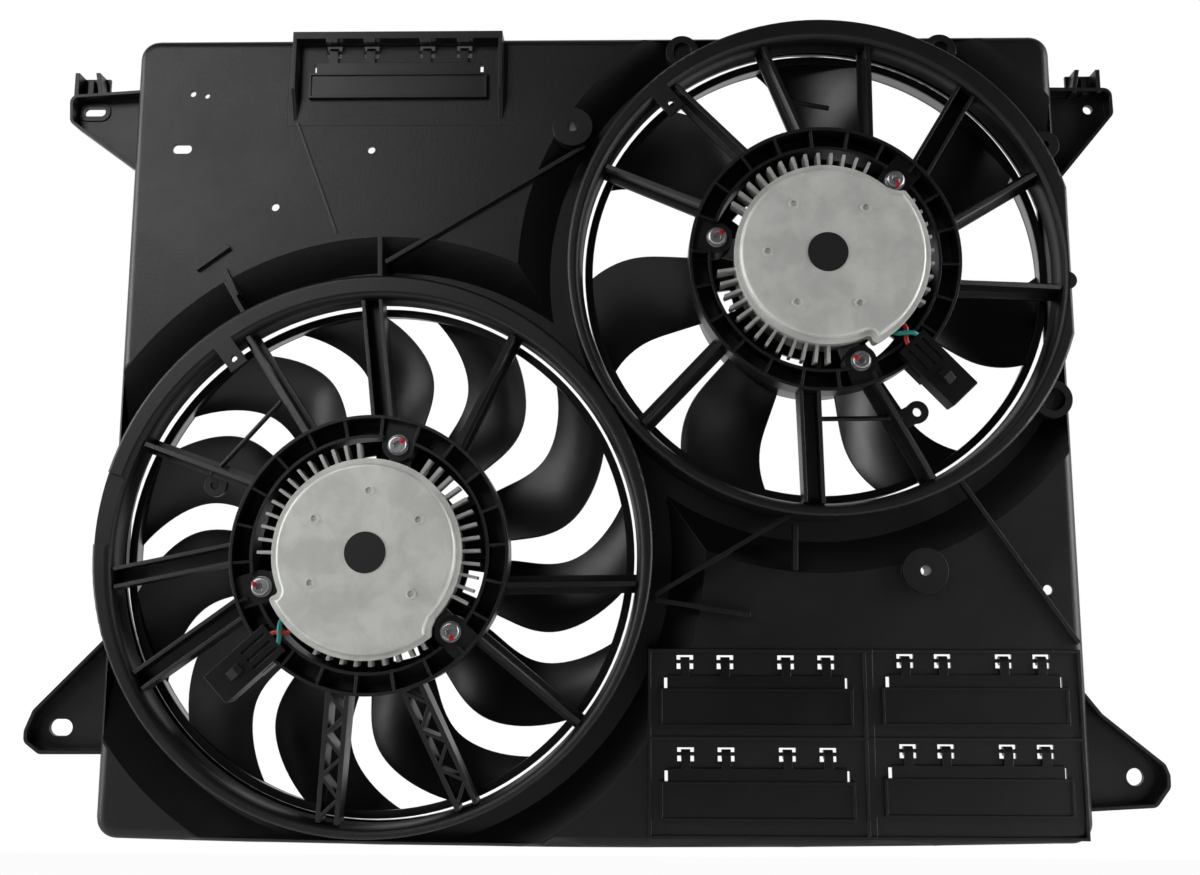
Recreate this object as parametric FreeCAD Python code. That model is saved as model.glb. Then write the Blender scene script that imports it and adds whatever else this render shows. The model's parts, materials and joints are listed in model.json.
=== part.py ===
import FreeCAD, Part
import math
import os

V = FreeCAD.Vector

# Twin electric cooling fan in its shroud. Millimetres, Z up, X to the right as seen from the
# engine side, Y away from the viewer, towards the radiator. Everything is laid out from the
# middle of the front face of the shroud and, when saved, moved so that the origin is the
# middle of the lower right mounting hole, on the front face of its plate.
# Angles are degrees, counter-clockwise as seen from the engine side.

# Shroud panel and rim
SHROUD_WIDTH = 650.0
SHROUD_HEIGHT = 555.2
DRAWN_WIDTH = 650.0
DRAWN_HEIGHT = 555.2
MIDDLE_RISE = 1.6
SIDE_FLARE = 1.6
BOTTOM_BOW = 4.4
CORNER_RADIUS = 14.0
EDGE_ROUND = 7.5
EDGE_DEPTH = 9.0
SKIN = 2.6
RIM_WALL = 3.0
RIM_REAR = 28.0
TROUGH_DEPTH = 16.0
TROUGH_REACH = 47.6
TROUGH_FLOOR = 26.0
RIDGE = 1.5

# Barrels
BARREL_WALL = 3.0
DUCT_REAR = -8.0
LIP_FRONT = -28.0
LIP_WIDTH = 12.1
LIP_DEPTH = 9.0
LIP_FLOOR = 5.4
LIP_ROUND = 2.4
LIP_TRIM = 320.5
FLARE = 5.5
SKIRT_WALL = 2.6
HOLE_INSET = 5.0

# Spokes
SPOKE_FRONT_OUTER = -27.0
SPOKE_FRONT_INNER = -43.0
SPOKE_REAR_OUTER = -12.0
SPOKE_REAR_INNER = -25.0
SPOKE_DRAWN_SHORT = 3.0
SPOKE_FLANGE = 2.4
SPOKE_WEB = 3.0
SPOKE_WIDTHS = {"tee": 10.0, "thick": 12.0, "channel": 14.0, "lattice": 15.0}

# Ring that carries a motor
RING_OUTER = 89.2
RING_INNER = 74.5
RING_WALL = 2.0
RING_FRONT = -45.0
RING_BACK = -25.0
RING_FLOOR = 2.5
RING_WEBS = 22
SCREW_CIRCLE = 72.0
SCREW_ANGLES = (77.0, 197.0, 317.0)
POCKET_RADIUS = 10.5
POCKET_SEAT = -39.5

# Motor
SCREW_RADIUS = 3.0
SCREW_FLANGE_RADIUS = 6.75
SCREW_FLANGE = 1.0
SCREW_HEAD_RADIUS = 5.9
SCREW_HEAD_HEIGHT = 4.5
THREAD_CLEARANCE = 0.05
LUG_RADIUS = 8.5
LUG_DEPTH = 8.0
COVER_RADIUS = 60.0
LOBE_RADIUS = 67.0
LOBE_START = 205.0
LOBE_END = 316.0
COVER_FRONT = -56.0
COVER_BASE = -51.0
COVER_SHEET = 1.2
COVER_FLANGE = 3.4
COVER_ROUND = 2.2
COVER_SOFT = 2.5
GASKET = 1.0
GASKET_WIDTH = 2.0
NOTCH_CLEARANCE = 0.7
TRAY_INSET = 0.5
TRAY_WALL = 2.8
TRAY_FLOOR_FRONT = -44.0
TRAY_FLOOR_BACK = -41.0
CAN_OUTER = 58.0
CAN_WALL = 3.0
CAN_BACK = -20.0
FIN_TIP = 71.0
FIN_THICK = 2.0
FIN_SECTORS = ((97.0, 179.5, 12), (-26.5, 57.5, 12), (243.0, 302.0, 8))
PATCH_RADIUS = 13.06
PATCH_THICK = 0.4
STAKE_CIRCLE = 39.0
STAKE_ANGLES = (32.0, 88.0, 147.0, 209.0, 319.0)
SHAFT_RADIUS = 5.0
BEARING_CLEARANCE = 0.03
BEARING_RADIUS = 13.0
BEARING_DEPTH = 7.0
TUBE_WALL = 3.0
TUBE_BACK = -10.0
FRONT_BEARING = -39.0
REAR_BEARING = -26.0
STATOR_RADIUS = 44.0
STATOR_FRONT = -30.0
STATOR_DEPTH = 18.0
STATOR_TEETH = 12
AIR_GAP = 1.0
MAGNET_THICK = 4.0
BELL_WALL = 3.0
BELL_FRONT = -32.0
BELL_BACK = 8.0

# Connector and leads
PLUG_ANGLE = 222.5
PLUG_INNER = 78.0
PLUG_STEP = 103.0
PLUG_OUTER = 127.0
PLUG_WIDTH = 22.0
PLUG_FRONT = -47.0
PLUG_BACK = -31.0
PLUG_CLEARANCE = 0.2
LEAD_RADIUS = 1.5

# Fans
HUB_RADIUS = 84.0
HUB_WALL = 2.5
HUB_FRONT = -14.0
HUB_BACK = 20.0
HUB_DISC = 3.0
HUB_RIBS = 12
HUB_WINDOWS = 6
HUB_WINDOW_SPAN = 15.0
HUB_WINDOW_START = 44.0
RUNNING_GAP = 1.5
BAND_WALL = 2.0
BAND_FRONT = -4.5
BAND_BACK = 14.0
BAND_FLANGE = 5.2
BLADE_THICK = 2.6
BLADE_EDGE = 1.3
BLADE_CAMBER = 0.085
FAN_SCREW_CIRCLE = 30.0
FAN_SCREW_RADIUS = 2.5


def across(x):
    return x * SHROUD_WIDTH / DRAWN_WIDTH


def up(z):
    return z * SHROUD_HEIGHT / DRAWN_HEIGHT


# The barrels grow with the distance between the two fans
FAN_SPACING = math.hypot(across(294.1), up(194.0))
MAIN = {
    "name": "main", "x": across(-140.1), "z": up(-92.1), "bore": FAN_SPACING / 2 - 5.2, "turn": 0.0,
    "lip_x": -1.9, "lip_z": 4.4,
    "blades": 11, "first": 18.9, "root_half": 12.3, "tip_half": 9.9, "sweep": 17.5, "power": 1.6,
    "spokes": ((121.5, 118.6, "tee"), (154.6, 149.6, "tee"), (185.0, 180.2, "channel"),
               (208.2, 203.2, "channel"), (92.2, 86.4, "channel"), (58.6, 51.6, "tee"),
               (-6.2, -12.6, "thick"), (-38.5, -37.1, "tee"), (-68.3, -70.8, "lattice"),
               (-98.5, -101.2, "lattice")),
    "lip_tab": 126.9, "spoke_tab": (117.2, 157.0, 151.3), "rods": ((120.6, 122.6, 118.3, 150.8),),
}
SECOND = {
    "name": "second", "x": across(154.0), "z": up(101.9), "bore": FAN_SPACING / 2 - 16.2, "turn": 91.0,
    "lip_x": 2.0, "lip_z": 3.2,
    "blades": 7, "first": 32.9, "root_half": 13.7, "tip_half": 12.2, "sweep": 7.2, "power": 2.0,
    "spokes": ((126.7, 124.4, "tee"), (102.6, 98.3, "tee"), (154.0, 154.7, "tee"),
               (76.8, 68.5, "tee"), (50.1, 43.5, "channel"), (23.4, 16.5, "tee"),
               (-138.0, -140.5, "thick"), (-92.8, -97.5, "channel"), (-5.7, -10.8, "thick"),
               (-64.3, -69.2, "thick")),
    "lip_tab": 131.0, "spoke_tab": (117.0, -58.0, -66.9), "rods": ((104.6, -92.0, 115.6, -64.0),
                                                                    (118.8, 101.3, 110.9, 85.7)),
}
FANS = (MAIN, SECOND)

# Air flaps: all have the same height and clips, each its own width
FLAP_SHEET = 1.6
FLAP_STANDOFF = 0.4
STRIP_HEIGHT = 8.0
STRIP_INSET = 5.0
STRIP_DROP = 9.0
WINDOW_INSET = 3.0
CLIP_WIDTH = 11.0
CLIP_BELOW = 4.8
CLIP_ABOVE = 4.2
CLIP_INNER = 20.0
CLIP_SHARE = 0.367
PIN_RADIUS = 1.25
PIN_CLEARANCE = 0.05
KNUCKLE_RADIUS = 3.0
KNUCKLE_WIDTH = 6.0
SNAP_SLIT = 2.0
FLAPS = (
    {"name": "top_flap", "x": across(-138.3), "hinge": up(268.0), "width": across(127.0), "height": 26.6},
    {"name": "upper_inner_flap", "x": across(109.0), "hinge": up(-160.8), "width": across(126.5), "height": 32.6},
    {"name": "upper_outer_flap", "x": across(252.0), "hinge": up(-159.7), "width": across(121.5), "height": 32.6},
    {"name": "lower_inner_flap", "x": across(109.0), "hinge": up(-220.2), "width": across(126.5), "height": 32.6},
    {"name": "lower_outer_flap", "x": across(252.0), "hinge": up(-217.6), "width": across(121.5), "height": 32.6},
)
FLAP_BLOCK = (across(38.0), across(322.0), up(-273.5), up(-152.5))
GRID_SPLIT = 186.0
TOP_FRAME = (across(-212.7), across(-63.8), up(216.7))
FRAME_PROUD = 9.0
FRAME_WALL = 2.6

# Ears: trays open towards the viewer
EAR_PLATE_FRONT = 16.0
EAR_PLATE = 3.5
EAR_FLANGE_FRONT = 6.0
EAR_FLANGE = 2.2
EAR_CORNER = 6.0
CLIP_HEIGHT = 13.2
EARS = (
    {"name": "upper_left_ear", "side": -1, "hole": (-362.5, 230.5), "slot": 16.4, "bore": 6.8,
     "outline": ((243.0, 0), (239.5, 52.0), (219.0, 50.7), (182.0, 0)), "clip": (28.0, 49.0)},
    {"name": "upper_right_ear", "side": 1, "hole": (355.0, 229.0), "slot": 6.8, "bore": 6.8,
     "outline": ((241.5, 0), (241.0, 43.6), (221.5, 44.0), (168.5, 0)), "clip": (15.5, 36.0)},
    {"name": "lower_left_ear", "side": -1, "hole": (-357.5, -206.5), "slot": 16.0, "bore": 11.3,
     "outline": ((-144.5, 0), (-194.2, 47.7), (-207.6, 52.8), (-215.0, 52.8), (-223.0, 42.0),
                 (-222.8, 0)), "clip": None},
    {"name": "lower_right_ear", "side": 1, "hole": (360.0, -235.5), "slot": 11.5, "bore": 11.5,
     "outline": ((-178.6, 0), (-194.0, 12.0), (-226.0, 51.3), (-233.0, 53.9), (-241.0, 53.7),
                 (-253.6, 44.0), (-256.2, 0)), "clip": None},
)


def ear_hole(spec):
    x, z = spec["hole"]
    edge = spec["side"] * SHROUD_WIDTH / 2
    return V(edge + x - spec["side"] * DRAWN_WIDTH / 2, EAR_PLATE_FRONT, up(z))


DATUM = ear_hole(EARS[3])


# Small building blocks
def box(x0, x1, y0, y1, z0, z1):
    return Part.makeBox(x1 - x0, y1 - y0, z1 - z0, V(x0, y0, z0))


def pin(radius, y0, y1, x=0.0, z=0.0):
    return Part.makeCylinder(radius, y1 - y0, V(x, y0, z), V(0, 1, 0))


def ring(r_out, r_in, y0, y1, x=0.0, z=0.0):
    return pin(r_out, y0, y1, x, z).cut(pin(r_in, y0 - 1, y1 + 1, x, z))


def polar(radius, angle):
    a = math.radians(angle)
    return V(radius * math.cos(a), 0, radius * math.sin(a))


def turned(shape, angle):
    out = shape.copy()
    out.rotate(V(0, 0, 0), V(0, -1, 0), angle)
    return out


def moved(shape, x=0.0, y=0.0, z=0.0):
    out = shape.copy()
    out.translate(V(x, y, z))
    return out


def set_out(shape, radius, angle):
    return turned(moved(shape, x=radius), angle)


def face_of(points):
    return Part.Face(Part.makePolygon(list(points) + [points[0]]))


def prism(points, y0, y1):
    return face_of([V(x, y0, z) for x, z in points]).extrude(V(0, y1 - y0, 0))


def side_slab(points, z0, z1):
    return face_of([V(x, y, z0) for x, y in points]).extrude(V(0, 0, z1 - z0))


def revolved(points, start=0.0, sweep=360.0):
    solid = face_of([V(r, y, 0) for r, y in points]).revolve(V(0, 0, 0), V(0, -1, 0), sweep)
    return turned(solid, start)


def rounded_box(x0, x1, y0, y1, z0, z1, radius):
    solid = box(x0, x1, y0, y1, z0, z1)
    uprights = [e for e in solid.Edges if abs(e.Vertexes[0].Y - e.Vertexes[1].Y) > 0.001]
    return solid.makeFillet(radius, uprights)


def fused(shapes):
    out = shapes[0]
    if len(shapes) > 1:
        out = out.multiFuse(shapes[1:])
    return out.removeSplitter()


def wall_between(x0, z0, x1, z1, thick, y0, y1):
    length = math.hypot(x1 - x0, z1 - z0)
    slab = box(0, length, y0, y1, -thick / 2, thick / 2)
    return moved(turned(slab, math.degrees(math.atan2(z1 - z0, x1 - x0))), x=x0, z=z0)


def slot_cut(x, z, length, width, y0, y1):
    half = (length - width) / 2
    ends = [pin(width / 2, y0, y1, x - half, z), pin(width / 2, y0, y1, x + half, z)]
    if half < 0.01:
        return ends[0]
    return fused(ends + [box(x - half, x + half, y0, y1, z - width / 2, z + width / 2)])


def at_fan(fan, shape):
    return moved(shape, x=fan["x"], z=fan["z"])


# Air flaps
def clip_places(flap):
    outer = flap["width"] * CLIP_SHARE
    return [flap["x"] + off for off in (-outer, -CLIP_INNER, CLIP_INNER, outer)]


def pin_depth():
    return SKIN / 2


def flap_shape(flap):
    back = -FLAP_STANDOFF
    tall = flap["height"]
    front = back - FLAP_SHEET
    half = flap["width"] / 2
    top = flap["hinge"] - STRIP_DROP
    x = flap["x"]
    strip_half = half - STRIP_INSET
    pieces = [box(x - half, x + half, front, back, top - tall, top - STRIP_HEIGHT)]
    pieces.append(box(x - strip_half, x + strip_half, front, back, top - STRIP_HEIGHT, top))
    lip = front - 1.2
    pieces.append(box(x - half, x + half, lip, front, top - tall, top - tall + 1.6))
    pieces.append(box(x - half, x + half, lip, front, top - STRIP_HEIGHT - 1.6, top - STRIP_HEIGHT))
    for end in (x - half, x + half - 1.6):
        pieces.append(box(end, end + 1.6, lip, front, top - tall, top - STRIP_HEIGHT))
    axis_y = pin_depth()
    for place in clip_places(flap):
        start = place - KNUCKLE_WIDTH / 2
        at = V(start, axis_y, flap["hinge"])
        knuckle = Part.makeCylinder(KNUCKLE_RADIUS, KNUCKLE_WIDTH, at, V(1, 0, 0))
        arm = box(start, start + KNUCKLE_WIDTH, front, back, top - 1, flap["hinge"])
        bore = Part.makeCylinder(PIN_RADIUS + PIN_CLEARANCE, KNUCKLE_WIDTH, at, V(1, 0, 0))
        slit_z = flap["hinge"] - SNAP_SLIT / 2
        slit = box(start, start + KNUCKLE_WIDTH, axis_y, axis_y + 5, slit_z, slit_z + SNAP_SLIT)
        pieces.append(knuckle.fuse(arm).cut(bore).cut(slit))
    return fused(pieces)


def flap_windows(flap):
    top = flap["hinge"] - STRIP_DROP - WINDOW_INSET / 2
    half = flap["width"] / 2 - WINDOW_INSET
    low = flap["hinge"] - STRIP_DROP - flap["height"] + WINDOW_INSET
    cuts = [box(flap["x"] - half, flap["x"] + half, -1, SKIN + 1, low, top)]
    for place in clip_places(flap):
        cuts.append(box(place - CLIP_WIDTH / 2, place + CLIP_WIDTH / 2, -1, SKIN + 1,
                        flap["hinge"] - CLIP_BELOW, flap["hinge"] + CLIP_ABOVE))
    return cuts


def flap_pins(flap):
    reach = CLIP_WIDTH / 2 + 1
    out = []
    for place in clip_places(flap):
        at = V(place - reach, pin_depth(), flap["hinge"])
        out.append(Part.makeCylinder(PIN_RADIUS, 2 * reach, at, V(1, 0, 0)))
    return out


# Shroud
def outline_block(inset, y0, y1):
    half = SHROUD_WIDTH / 2
    top = SHROUD_HEIGHT / 2 + MIDDLE_RISE - inset
    low = -SHROUD_HEIGHT / 2 + MIDDLE_RISE + inset
    lower_left = V(-half + inset, y0, low)
    lower_right = V(half + SIDE_FLARE - inset, y0, low)
    upper_right = V(half - inset, y0, top)
    upper_left = V(-half - SIDE_FLARE + inset, y0, top)
    bow = Part.Arc(lower_left, V(across(30.0), y0, low - BOTTOM_BOW), lower_right).toShape()
    edges = [bow, Part.makeLine(lower_right, upper_right), Part.makeLine(upper_right, upper_left),
             Part.makeLine(upper_left, lower_left)]
    block = Part.Face(Part.Wire(edges)).extrude(V(0, y1 - y0, 0))
    uprights = [e for e in block.Edges if abs(e.Vertexes[0].Y - e.Vertexes[1].Y) > 0.001]
    return block.makeFillet(CORNER_RADIUS - inset, uprights)


def softened(block, radius):
    front = block.BoundBox.YMin + 0.01
    return block.makeFillet(radius, [e for e in block.Edges if e.BoundBox.YMax < front])


def inside_rim(y0, y1):
    return outline_block(RIM_WALL, y0, y1)


def shroud_rim():
    return outline_block(0, EDGE_DEPTH, RIM_REAR).cut(inside_rim(EDGE_DEPTH - 1, RIM_REAR + 1))


def plateau():
    outside = softened(outline_block(0, 0, EDGE_DEPTH), EDGE_ROUND)
    inside = softened(inside_rim(SKIN, EDGE_DEPTH + 1), EDGE_ROUND - RIM_WALL)
    return outside.cut(inside)


def block_box(inset, y0, y1):
    x0, x1, z0, z1 = FLAP_BLOCK
    return box(x0 + inset, x1 + inset, y0, y1, z0 - inset, z1 - inset)


def panel_bosses():
    pads = []
    holes = []
    for x, z, radius, hole in ((-13.7, 208.8, 14.0, 3.4), (221.9, -100.8, 15.0, 3.5),
                               (315.0, 193.8, 10.0, 3.0)):
        pads.append(pin(radius, -6, SKIN, across(x), up(z)))
        pads.append(pin(hole + 3, SKIN, 14, across(x), up(z)))
        holes.append(pin(hole, -7, 15, across(x), up(z)))
    for x, z, radius in ((63.6, 265.0, 11.5), (245.3, 265.0, 11.5), (312.0, 14.6, 13.0)):
        pads.append(pin(radius, -5, SKIN, across(x), up(z)))
        holes.append(pin(radius - 5, -6, -2, across(x), up(z)))
    return pads, holes


def panel_ribs():
    ribs = []
    for x0, z0, x1, z1, high in ((-143.1, 112.0, -5.0, 196.0, 3.0), (42.8, -117.3, 133.2, -64.0, 10.0),
                                 (42.8, -120.5, 105.5, -130.2, 8.0), (136.4, -70.7, 135.8, -100.6, 8.0),
                                 (247.3, -39.1, 321.0, -148.0, 3.0), (-275.9, 107.2, -253.5, 123.8, 3.0)):
        ribs.append(wall_between(across(x0), up(z0), across(x1), up(z1), 3.0, -high, SKIN))
    ribs.append(wall_between(across(-209.2), up(214.9), across(-178.6), up(133.7), 1.6, -0.5, SKIN))
    return ribs


def rear_ribs():
    ribs = []
    z_top = SHROUD_HEIGHT / 2 - RIM_WALL
    x_side = SHROUD_WIDTH / 2 - RIM_WALL
    for x in (across(-250.0), across(-20.0), across(40.0), across(300.0)):
        ribs.append(box(x - 1, x + 1, SKIN, 14, up(120 if x < 0 else 215), z_top))
    for z in (up(150.0), up(205.0)):
        ribs.append(box(-x_side, across(-20), SKIN, 12, z - 1, z + 1))
    ribs.append(box(across(140), x_side, SKIN, 12, up(-146), up(-146) + 2))
    ribs.append(box(across(180), across(180) + 2, SKIN, 12, up(-268), up(-145)))
    ribs.append(box(across(42), x_side, SKIN, 12, up(-213), up(-213) + 2))
    return ribs


def trough_ribs():
    ribs = []
    for angle in (92.0, 121.0):
        span = box(MAIN["bore"] + LIP_WIDTH + 2, MAIN["bore"] + TROUGH_REACH + 4, -2, TROUGH_DEPTH + 1, -1.5, 1.5)
        ribs.append(at_fan(MAIN, turned(span, angle)))
    ribs.append(wall_between(across(-255.5), up(107.2), across(-246.5), up(88.3), 3.0, -2, TROUGH_DEPTH + 1))
    return ribs


def top_frame():
    x0, x1, z0 = TOP_FRAME
    top = SHROUD_HEIGHT / 2 + MIDDLE_RISE
    ledge = top - 2 * FRAME_WALL
    cheek = Part.Face(Part.makePolygon([V(0, 0.5, z0), V(0, 0, z0), V(0, -FRAME_PROUD, z0 + 20),
                                        V(0, -FRAME_PROUD, top), V(0, 0.5, top), V(0, 0.5, z0)]))
    cheek = cheek.extrude(V(FRAME_WALL, 0, 0))
    pieces = [moved(cheek, x=x0), moved(cheek, x=x1 - FRAME_WALL),
              box(x0, x1, -FRAME_PROUD, EDGE_ROUND, ledge, top)]
    for place in clip_places(FLAPS[0]):
        pieces.append(box(place - 4, place + 4, -FRAME_PROUD, -FRAME_PROUD + 3, ledge - 3, ledge + 1))
    return pieces


def top_frame_region(y0, y1):
    x0, x1, z0 = TOP_FRAME
    return box(x0 - 4, x1 + 4, y0, y1, z0 - 4, SHROUD_HEIGHT)


def lip_disc(fan, inset, y0, y1):
    radius = fan["bore"] + LIP_WIDTH - inset
    disc = pin(radius, y0, y1, fan["x"] + fan["lip_x"], fan["z"] + fan["lip_z"])
    side = across(LIP_TRIM) - inset
    return disc.common(box(-SHROUD_WIDTH, side, y0, y1, -SHROUD_HEIGHT, SHROUD_HEIGHT))


def whole_panel():
    solid = [plateau()]
    hollow = []
    within = inside_rim(-5, RIM_REAR)
    under_block = block_box(SKIN, -5, RIM_REAR)
    for fan in FANS:
        rim = fan["bore"] + TROUGH_REACH
        foot = fan["bore"] + TROUGH_FLOOR
        back = TROUGH_DEPTH + SKIN
        full = revolved([(0, 0), (rim + 1.6, 0), (rim + 1.6, SKIN), (foot + 1.6, back), (0, back)])
        front = revolved([(0, -4), (rim, -4), (rim, 0), (foot, TROUGH_DEPTH), (0, TROUGH_DEPTH)])
        full = moved(full, x=fan["x"] + fan["lip_x"], z=fan["z"] + fan["lip_z"])
        front = moved(front, x=fan["x"] + fan["lip_x"], z=fan["z"] + fan["lip_z"])
        solid.append(full.common(within).cut(under_block))
        hollow.append(front.common(within).cut(block_box(0, -5, RIM_REAR)))
    body = fused(solid + rear_ribs()).cut(fused(hollow))
    pads, pad_holes = panel_bosses()
    body = fused([body] + pads + panel_ribs() + trough_ribs() + block_ridges() + top_frame())
    cuts = list(pad_holes)
    for flap in FLAPS:
        cuts.extend(flap_windows(flap))
    for fan in FANS:
        cuts.append(lip_disc(fan, HOLE_INSET, -12, RIM_REAR))
    for hx, hz, hr in ((-285.5, 237.2, 2.3), (-275.3, 235.6, 2.0), (-156.3, 194.6, 2.7),
                       (-222.9, 152.8, 2.9), (303.5, -113.2, 3.3)):
        cuts.append(pin(hr, -5, 20, across(hx), up(hz)))
    cuts.append(slot_cut(across(-291.2), up(195.9), 14.0, 7.0, -5, 20))
    body = body.cut(fused(cuts))
    pins = []
    for flap in FLAPS:
        pins.extend(flap_pins(flap))
    return fused([body] + pins)


def block_ridges():
    x0, x1, z0, z1 = FLAP_BLOCK
    ridges = []
    for z in (z0, up(-211.0), z1 - 2):
        ridges.append(box(x0, x1, -RIDGE, SKIN, z, z + 2))
    for x in (x0, across(179.5), x1 - 2):
        ridges.append(box(x, x + 2, -RIDGE, SKIN, z0, z1))
    return ridges


def flare_void(fan):
    bore = fan["bore"]
    points = [(0, LIP_FRONT - 1), (bore + FLARE, LIP_FRONT - 1)]
    for i in range(7):
        t = math.radians(90 - 15 * i)
        points.append((bore + FLARE - FLARE * math.cos(t), LIP_FRONT + LIP_DEPTH - LIP_DEPTH * math.sin(t)))
    return at_fan(fan, revolved(points + [(bore, 0), (0, 0)]))


def barrel(fan):
    f = LIP_FRONT
    bore = fan["bore"]
    lip = softened(lip_disc(fan, 0, f, f + LIP_DEPTH), LIP_ROUND)
    under = lip_disc(fan, SKIRT_WALL, f + LIP_FLOOR, f + LIP_DEPTH)
    wall = at_fan(fan, pin(bore + BARREL_WALL, f + LIP_FLOOR - 1, DUCT_REAR))
    pieces = [fused([lip.cut(under), wall])]
    if fan is SECOND:
        boss_x = across(LIP_TRIM) - 3.0
        pieces.append(pin(6.0, f, f + LIP_DEPTH, boss_x, up(90.6)))
        pieces = [fused(pieces)]
    shell = pieces[0].cut(flare_void(fan))
    if fan is MAIN:
        dip = [(bore + BARREL_WALL, f - 1), (bore + 30, f - 1), (bore + 30, f + LIP_FLOOR - 2),
               (bore + BARREL_WALL, f + LIP_FLOOR - 2)]
        shell = shell.cut(at_fan(fan, revolved(dip, 163.0, 15.0)))
    else:
        shell = shell.cut(lip_disc(MAIN, 0, f - 1, 0))
    reach = bore - 15.0
    tab = turned(box(reach, bore + 1, f, f + 3, -6.5, 6.5), fan["lip_tab"])
    tab = tab.common(pin(bore + 0.5, f, 0))
    link = turned(box(bore - 2, bore + FLARE, f, f + LIP_DEPTH, -6.5, 6.5), fan["lip_tab"])
    hole = turned(pin(2.2, f - 1, 0, reach + 6.5, 0), fan["lip_tab"])
    return fused([shell, at_fan(fan, fused([tab, link]).cut(hole))])


def barrel_skirt(fan, panel):
    f = LIP_FRONT + LIP_DEPTH
    skirt = lip_disc(fan, 0, f, TROUGH_DEPTH).cut(lip_disc(fan, SKIRT_WALL, f - 1, TROUGH_DEPTH + 1))
    if fan is SECOND:
        skirt = skirt.cut(lip_disc(MAIN, 0, f - 1, TROUGH_DEPTH + 1))
    skirt = skirt.cut(fused(panel))
    solids = sorted(skirt.Solids, key=lambda one: one.Volume)
    return solids[-1]


def spoke(fan, outer_angle, inner_angle, kind):
    inner = polar(RING_OUTER, inner_angle)
    run = polar(fan["bore"] - SPOKE_DRAWN_SHORT, outer_angle).sub(inner)
    length = run.Length
    width = SPOKE_WIDTHS[kind]
    over = 8.0

    def strip(front_in, front_out, rear_in, rear_out, z0, z1):
        points = []
        for s, a, b in ((-over, front_in, front_out), (length + over, front_in, front_out),
                        (length + over, rear_in, rear_out), (-over, rear_in, rear_out)):
            points.append((s, a + (b - a) * s / length))
        return side_slab(points, z0, z1)

    def web(z0, z1):
        return strip(SPOKE_FRONT_INNER, SPOKE_FRONT_OUTER, SPOKE_REAR_INNER, SPOKE_REAR_OUTER, z0, z1)

    def flange(z0, z1):
        return strip(SPOKE_REAR_INNER - SPOKE_FLANGE, SPOKE_REAR_OUTER - SPOKE_FLANGE,
                     SPOKE_REAR_INNER, SPOKE_REAR_OUTER, z0, z1)

    if kind == "lattice":
        rail = width / 2 - SPOKE_WEB / 2
        pieces = [web(-width / 2, -width / 2 + SPOKE_WEB), web(width / 2 - SPOKE_WEB, width / 2)]
        count = 6
        for i in range(count):
            side = rail if i % 2 else -rail
            s0 = length * i / count
            s1 = length * (i + 1) / count
            brace = wall_between(s0, side, s1, -side, 2.2, -60, 0)
            pieces.append(brace.common(web(-rail, rail)))
    elif kind == "channel":
        pieces = [web(-width / 2, -width / 2 + SPOKE_WEB * 0.8), web(width / 2 - SPOKE_WEB * 0.8, width / 2)]
        pieces.append(flange(-width / 2, width / 2))
    else:
        pieces = [web(-SPOKE_WEB / 2, SPOKE_WEB / 2), flange(-width / 2, width / 2)]
    heading = math.degrees(math.atan2(run.z, run.x))
    return moved(turned(fused(pieces), heading), x=inner.x, z=inner.z)


def spoke_set(fan):
    annulus = ring(fan["bore"], RING_OUTER, -60, 0)
    arms = [spoke(fan, a, b, kind) for a, b, kind in fan["spokes"]]
    extras = []
    radius, angle, root = fan["spoke_tab"]
    tab_at = polar(radius, angle)
    root_at = polar(radius, root)
    plate = wall_between(root_at.x, root_at.z, tab_at.x, tab_at.z, 13.0, -22, -19)
    plate = fused([plate, pin(7.5, -22, -19, tab_at.x, tab_at.z)])
    extras.append(plate.cut(pin(3.0, -30, -10, tab_at.x, tab_at.z)))
    for r0, a0, r1, a1 in fan["rods"]:
        start = polar(r0, a0)
        run = polar(r1, a1).sub(start)
        start.y = -26
        extras.append(Part.makeCylinder(1.6, run.Length, start, run))
    return at_fan(fan, fused(arms + extras).common(annulus))


def carrier_ring():
    floor = RING_BACK - RING_FLOOR
    low = RING_FRONT + 2
    inner = RING_INNER + RING_WALL
    outer = RING_OUTER - RING_WALL
    body = revolved([(RING_INNER, low), (inner, low), (inner, floor), (outer, floor),
                     (outer, RING_FRONT), (RING_OUTER, RING_FRONT), (RING_OUTER, RING_BACK),
                     (RING_INNER, RING_BACK)])
    pieces = [body]
    web = side_slab([(inner - 1, low), (outer + 1, RING_FRONT + 1), (outer + 1, floor), (inner - 1, floor)],
                    -0.9, 0.9)
    for i in range(RING_WEBS):
        pieces.append(turned(web, 360.0 * i / RING_WEBS + 4))
    for angle in SCREW_ANGLES:
        pad = fused([pin(POCKET_RADIUS, POCKET_SEAT, RING_BACK, SCREW_CIRCLE, 0),
                     box(SCREW_CIRCLE, outer + 1, POCKET_SEAT, floor + 1, -POCKET_RADIUS, POCKET_RADIUS)])
        pieces.append(turned(pad, angle))
    cuts = []
    for angle in SCREW_ANGLES:
        cuts.append(set_out(pin(POCKET_RADIUS, RING_FRONT - 5, POCKET_SEAT), SCREW_CIRCLE, angle))
        cuts.append(set_out(pin(SCREW_RADIUS + 0.3, POCKET_SEAT - 1, RING_BACK + 1), SCREW_CIRCLE, angle))
    half = PLUG_WIDTH / 2 + PLUG_CLEARANCE
    cuts.append(turned(box(inner + 0.3, RING_OUTER + 2, RING_FRONT - 5, floor, -half, half), PLUG_ANGLE))
    return fused(pieces).cut(fused(cuts))


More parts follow.
